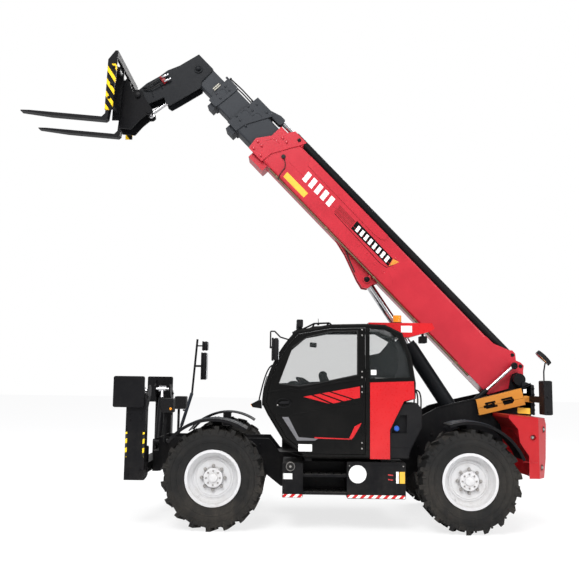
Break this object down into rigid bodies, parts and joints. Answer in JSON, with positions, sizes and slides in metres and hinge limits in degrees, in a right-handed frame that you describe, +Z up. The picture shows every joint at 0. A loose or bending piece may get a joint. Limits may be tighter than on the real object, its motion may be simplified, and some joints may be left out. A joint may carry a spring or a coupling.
{
  "type": "telehandler",
  "caption": "Construction telehandler with a telescopic boom and pallet forks, side cab, steered wheels and folding front stabilisers.",
  "frame": {"origin": "bottom centre of the whole machine's bounding box, on the ground", "axes": "+X forward towards the fork tips, +Y to the driver's left (cab side), +Z up"},
  "size_m": [7.015, 2.396, 6.4269],
  "materials": {
    "amber": "gloss",
    "black": "satin",
    "chrome": "polished",
    "dark_steel": "satin",
    "fabric": "matte",
    "glass": "gloss",
    "iron": "matte",
    "orange": "satin",
    "pipe": "satin",
    "plastic": "matte",
    "red": "gloss",
    "silver": "satin",
    "slate": "satin",
    "stripe": "satin",
    "tyre": "matte"
  },
  "bodies": {
    "chassis": {"beacon": "amber", "cab_frame": "black", "cab_glass": "glass", "cab_quarter_panel": "red", "chassis_frame": "black", "console": "plastic", "counterweight": "red", "engine_block": "iron", "engine_hood": "black", "front_axle": "black", "fuel_tank": "plastic", "lamps": "plastic", "mirrors": "plastic", "rear_axle": "black", "rear_panels": "plastic", "roof_extension": "red", "safety_strut": "orange", "seat": "fabric", "side_boxes": "black", "tow_clevis": "black"},
    "knuckle_front_left": {"knuckle_front_left": "black"},
    "wheel_front_left": {"rim_front_left": "silver", "tyre_front_left": "tyre"},
    "knuckle_front_right": {"knuckle_front_right": "black"},
    "wheel_front_right": {"rim_front_right": "silver", "tyre_front_right": "tyre"},
    "knuckle_rear_left": {"knuckle_rear_left": "black"},
    "wheel_rear_left": {"rim_rear_left": "silver", "tyre_rear_left": "tyre"},
    "knuckle_rear_right": {"knuckle_rear_right": "black"},
    "wheel_rear_right": {"rim_rear_right": "silver", "tyre_rear_right": "tyre"},
    "door": {"cab_door": "black", "door_glass": "glass"},
    "boom": {"boom_outer": "red", "boom_pipes": "pipe", "extension_barrel": "black"},
    "boom_2": {"boom_2": "slate", "extension_rod": "chrome"},
    "boom_3": {"boom_3": "slate"},
    "boom_4": {"boom_4": "slate", "boom_head": "slate"},
    "carriage": {"fork_carriage": "stripe", "forks": "dark_steel"},
    "lift_rod": {"lift_rod": "chrome"},
    "lift_barrel": {"lift_barrel": "black"},
    "level_barrel": {"level_barrel": "black"},
    "level_rod": {"level_rod": "chrome"},
    "tilt_barrel": {"tilt_barrel": "black"},
    "tilt_rod": {"tilt_rod": "chrome"},
    "stabiliser_left": {"stabiliser_left_arm": "black"},
    "stabiliser_left_foot": {"stabiliser_left_foot": "black"},
    "stabiliser_left_barrel": {"stabiliser_left_barrel": "black"},
    "stabiliser_left_rod": {"stabiliser_left_rod": "chrome"},
    "stabiliser_right": {"stabiliser_right_arm": "black"},
    "stabiliser_right_foot": {"stabiliser_right_foot": "black"},
    "stabiliser_right_barrel": {"stabiliser_right_barrel": "black"},
    "stabiliser_right_rod": {"stabiliser_right_rod": "chrome"}
  },
  "joints": [
    {"name": "steer_front", "type": "hinge", "parent": "chassis", "child": "knuckle_front_left", "pos_m": [0.64999, 0.78, 0.62], "axis": [0, 0, 1], "range_deg": [-35, 35]},
    {"name": "steer_front_right", "type": "hinge", "parent": "chassis", "child": "knuckle_front_right", "pos_m": [0.64999, -0.78, 0.62], "axis": [0, 0, 1], "range_deg": [-35, 35]},
    {"name": "steer_rear", "type": "hinge", "parent": "chassis", "child": "knuckle_rear_left", "pos_m": [-2.45001, 0.78, 0.62], "axis": [0, 0, 1], "range_deg": [-35, 35]},
    {"name": "steer_rear_right", "type": "hinge", "parent": "chassis", "child": "knuckle_rear_right", "pos_m": [-2.45001, -0.78, 0.62], "axis": [0, 0, 1], "range_deg": [-35, 35]},
    {"name": "wheel_front_left", "type": "hinge", "parent": "knuckle_front_left", "child": "wheel_front_left", "pos_m": [0.64999, 0.995, 0.62], "axis": [0, 1, 0], "continuous": true},
    {"name": "wheel_front_right", "type": "hinge", "parent": "knuckle_front_right", "child": "wheel_front_right", "pos_m": [0.64999, -0.995, 0.62], "axis": [0, 1, 0], "continuous": true},
    {"name": "wheel_rear_left", "type": "hinge", "parent": "knuckle_rear_left", "child": "wheel_rear_left", "pos_m": [-2.45001, 0.995, 0.62], "axis": [0, 1, 0], "continuous": true},
    {"name": "wheel_rear_right", "type": "hinge", "parent": "knuckle_rear_right", "child": "wheel_rear_right", "pos_m": [-2.45001, -0.995, 0.62], "axis": [0, 1, 0], "continuous": true},
    {"name": "cab_door", "type": "hinge", "parent": "chassis", "child": "door", "pos_m": [-1.18801, 1.162, 1.5], "axis": [0, 0, 1], "range_deg": [0, 110]},
    {"name": "boom_lift", "type": "hinge", "parent": "chassis", "child": "boom", "pos_m": [-3.32001, 0, 1.852], "axis": [0, -1, 0], "range_deg": [-49, 26]},
    {"name": "boom_extend", "type": "slide", "parent": "boom", "child": "boom_2", "axis": [0.6947, 0, 0.7193], "range_m": [-0.18, 3.4]},
    {"name": "boom_extend_3", "type": "slide", "parent": "boom_2", "child": "boom_3", "axis": [0.6947, 0, 0.7193], "range_m": [-0.18, 3.4]},
    {"name": "boom_extend_4", "type": "slide", "parent": "boom_3", "child": "boom_4", "axis": [0.6947, 0, 0.7193], "range_m": [-0.18, 3.4]},
    {"name": "carriage_tilt", "type": "hinge", "parent": "boom_4", "child": "carriage", "pos_m": [1.94998, 0, 5.79194], "axis": [0, 1, 0], "range_deg": [-60, 40]},
    {"name": "lift_rod_pin", "type": "hinge", "parent": "boom", "child": "lift_rod", "pos_m": [-1.30748, 0, 3.20043], "axis": [0, -1, 0], "range_deg": [-2.5, 4.2]},
    {"name": "lift_barrel_slide", "type": "slide", "parent": "lift_rod", "child": "lift_barrel", "axis": [-0.5505, 0, -0.8348], "range_m": [-0.82, 0.44]},
    {"name": "level_barrel_pin", "type": "hinge", "parent": "chassis", "child": "level_barrel", "pos_m": [-2.32701, 0.27, 1.205], "axis": [0, -1, 0], "range_deg": [-2.2, 1.4]},
    {"name": "level_rod_slide", "type": "slide", "parent": "level_barrel", "child": "level_rod", "axis": [-0.7489, 0, 0.6627], "range_m": [-0.15, 0.08]},
    {"name": "tilt_barrel_pin", "type": "hinge", "parent": "boom_4", "child": "tilt_barrel", "pos_m": [1.04304, 0, 6.13255], "axis": [0, 1, 0], "range_deg": [-3.6, 2.6]},
    {"name": "tilt_rod_slide", "type": "slide", "parent": "tilt_barrel", "child": "tilt_rod", "axis": [0.7922, 0, -0.6103], "range_m": [-0.19, 0.28]},
    {"name": "stabiliser_left", "type": "hinge", "parent": "chassis", "child": "stabiliser_left", "pos_m": [1.61999, 0.85, 0.68], "axis": [-1, 0, 0], "range_deg": [0, 122]},
    {"name": "stabiliser_left_foot", "type": "hinge", "parent": "stabiliser_left", "child": "stabiliser_left_foot", "pos_m": [1.61999, 1, 1.58], "axis": [-1, 0, 0], "range_deg": [-33, 1]},
    {"name": "stabiliser_left_barrel_pin", "type": "hinge", "parent": "chassis", "child": "stabiliser_left_barrel", "pos_m": [1.61999, 0.55, 0.9], "axis": [-1, 0, 0], "range_deg": [-1, 104]},
    {"name": "stabiliser_left_rod_slide", "type": "slide", "parent": "stabiliser_left_barrel", "child": "stabiliser_left_rod", "axis": [0, 0.3162, 0.9487], "range_m": [-0.01, 0.56]},
    {"name": "stabiliser_right", "type": "hinge", "parent": "chassis", "child": "stabiliser_right", "pos_m": [1.61999, -0.85, 0.68], "axis": [1, 0, 0], "range_deg": [0, 122]},
    {"name": "stabiliser_right_foot", "type": "hinge", "parent": "stabiliser_right", "child": "stabiliser_right_foot", "pos_m": [1.61999, -1, 1.58], "axis": [1, 0, 0], "range_deg": [-33, 1]},
    {"name": "stabiliser_right_barrel_pin", "type": "hinge", "parent": "chassis", "child": "stabiliser_right_barrel", "pos_m": [1.61999, -0.55, 0.9], "axis": [1, 0, 0], "range_deg": [-1, 104]},
    {"name": "stabiliser_right_rod_slide", "type": "slide", "parent": "stabiliser_right_barrel", "child": "stabiliser_right_rod", "axis": [0, -0.3162, 0.9487], "range_m": [-0.01, 0.56]}
  ],
  "couplings": [
    {"joint": "steer_front_right", "follows": "steer_front", "ratio": 1},
    {"joint": "steer_rear_right", "follows": "steer_rear", "ratio": 1},
    {"joint": "boom_extend_3", "follows": "boom_extend", "ratio": 1},
    {"joint": "boom_extend_4", "follows": "boom_extend", "ratio": 1},
    {"joint": "lift_rod_pin", "follows": "boom_lift", "ratio": -0.075},
    {"joint": "lift_barrel_slide", "follows": "boom_lift", "m_per_rad": 0.948},
    {"joint": "level_barrel_pin", "follows": "boom_lift", "ratio": 0.0315},
    {"joint": "level_rod_slide", "follows": "boom_lift", "m_per_rad": 0.168},
    {"joint": "tilt_barrel_pin", "follows": "carriage_tilt", "ratio": 0.0526},
    {"joint": "tilt_rod_slide", "follows": "carriage_tilt", "m_per_rad": -0.26},
    {"joint": "stabiliser_left_foot", "follows": "stabiliser_left", "ratio": -0.2623},
    {"joint": "stabiliser_left_barrel_pin", "follows": "stabiliser_left", "ratio": 0.8437},
    {"joint": "stabiliser_left_rod_slide", "follows": "stabiliser_left", "m_per_rad": 0.2607},
    {"joint": "stabiliser_right_foot", "follows": "stabiliser_right", "ratio": -0.2623},
    {"joint": "stabiliser_right_barrel_pin", "follows": "stabiliser_right", "ratio": 0.8437},
    {"joint": "stabiliser_right_rod_slide", "follows": "stabiliser_right", "m_per_rad": 0.2607}
  ]
}
